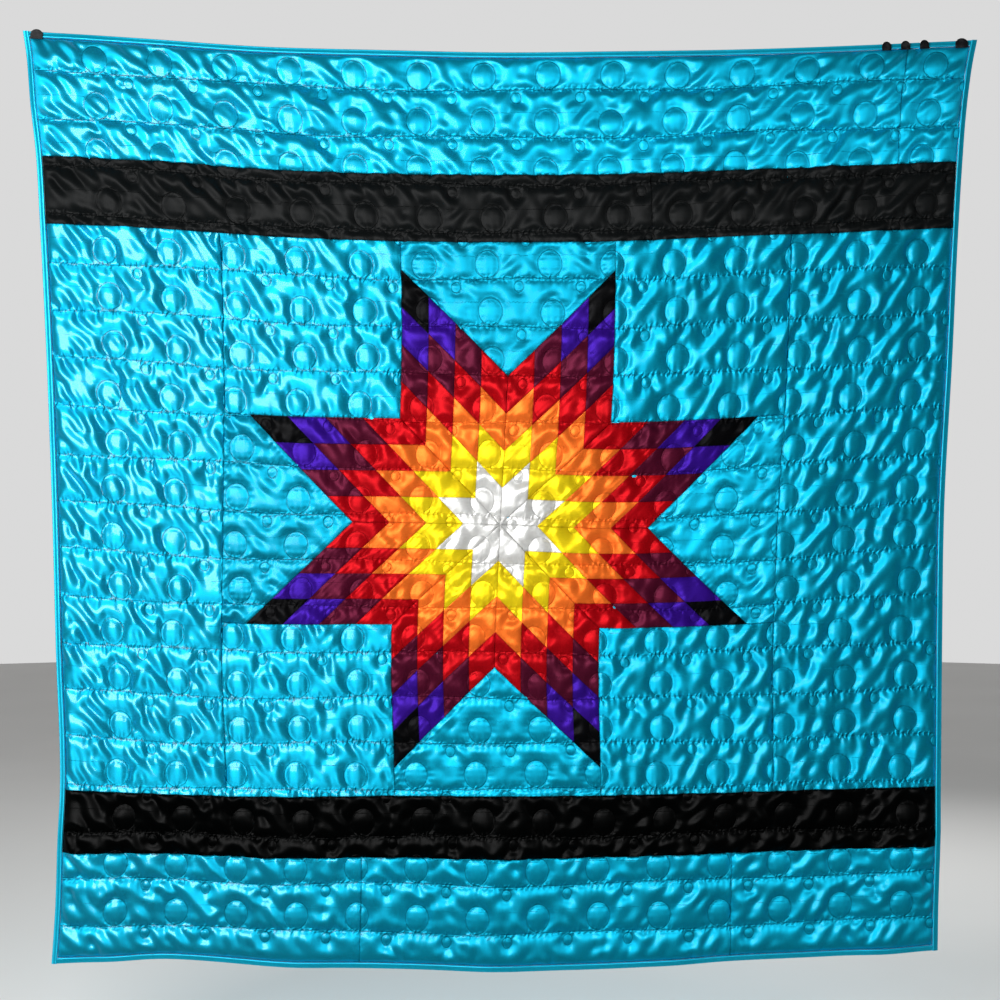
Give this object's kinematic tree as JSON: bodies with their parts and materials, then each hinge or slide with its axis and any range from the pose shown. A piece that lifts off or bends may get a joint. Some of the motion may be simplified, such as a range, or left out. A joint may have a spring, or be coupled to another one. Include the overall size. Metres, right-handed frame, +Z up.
{
  "type": "star quilt blanket hanging by corner clips",
  "caption": "Satin star quilt with turquoise ground, black bands and an eight-pointed star of diamonds, quilted with circles, hung by clips at its top corners.",
  "frame": {"origin": "middle of the top edge of the hanging cloth, in the middle of its thickness", "axes": "+X along the top edge to the right as seen from the front, +Y into the wall behind, +Z up"},
  "size_m": [2.2896, 0.0398, 2.2549],
  "materials": {
    "turquoise_satin": "glossy satin weave, turquoise",
    "black_satin": "glossy satin weave, black",
    "star_satin": "glossy satin patchwork, white at the centre through yellow, orange, red, wine and violet to black tips",
    "clip_steel": "black enamelled spring steel"
  },
  "bodies": {
    "root": {"binding_bottom": "turquoise_satin", "binding_left": "turquoise_satin", "binding_right": "turquoise_satin", "binding_top": "turquoise_satin", "bottom_border_left": "turquoise_satin", "bottom_border_middle": "turquoise_satin", "bottom_border_right": "turquoise_satin", "corner_clip_left": "clip_steel", "corner_clip_right": "clip_steel", "lower_band": "black_satin", "side_strip_left": "turquoise_satin", "side_strip_right": "turquoise_satin", "small_clip_1": "clip_steel", "small_clip_2": "clip_steel", "small_clip_3": "clip_steel", "square_bottom_left": "turquoise_satin", "square_bottom_right": "turquoise_satin", "square_top_left": "turquoise_satin", "square_top_right": "turquoise_satin", "star_point_1": "star_satin", "star_point_2": "star_satin", "star_point_3": "star_satin", "star_point_4": "star_satin", "star_point_5": "star_satin", "star_point_6": "star_satin", "star_point_7": "star_satin", "star_point_8": "star_satin", "top_border_long": "turquoise_satin", "top_border_short": "turquoise_satin", "triangle_bottom": "turquoise_satin", "triangle_left": "turquoise_satin", "triangle_right": "turquoise_satin", "triangle_top": "turquoise_satin", "upper_band_long": "black_satin", "upper_band_short": "black_satin"}
  },
  "joints": []
}
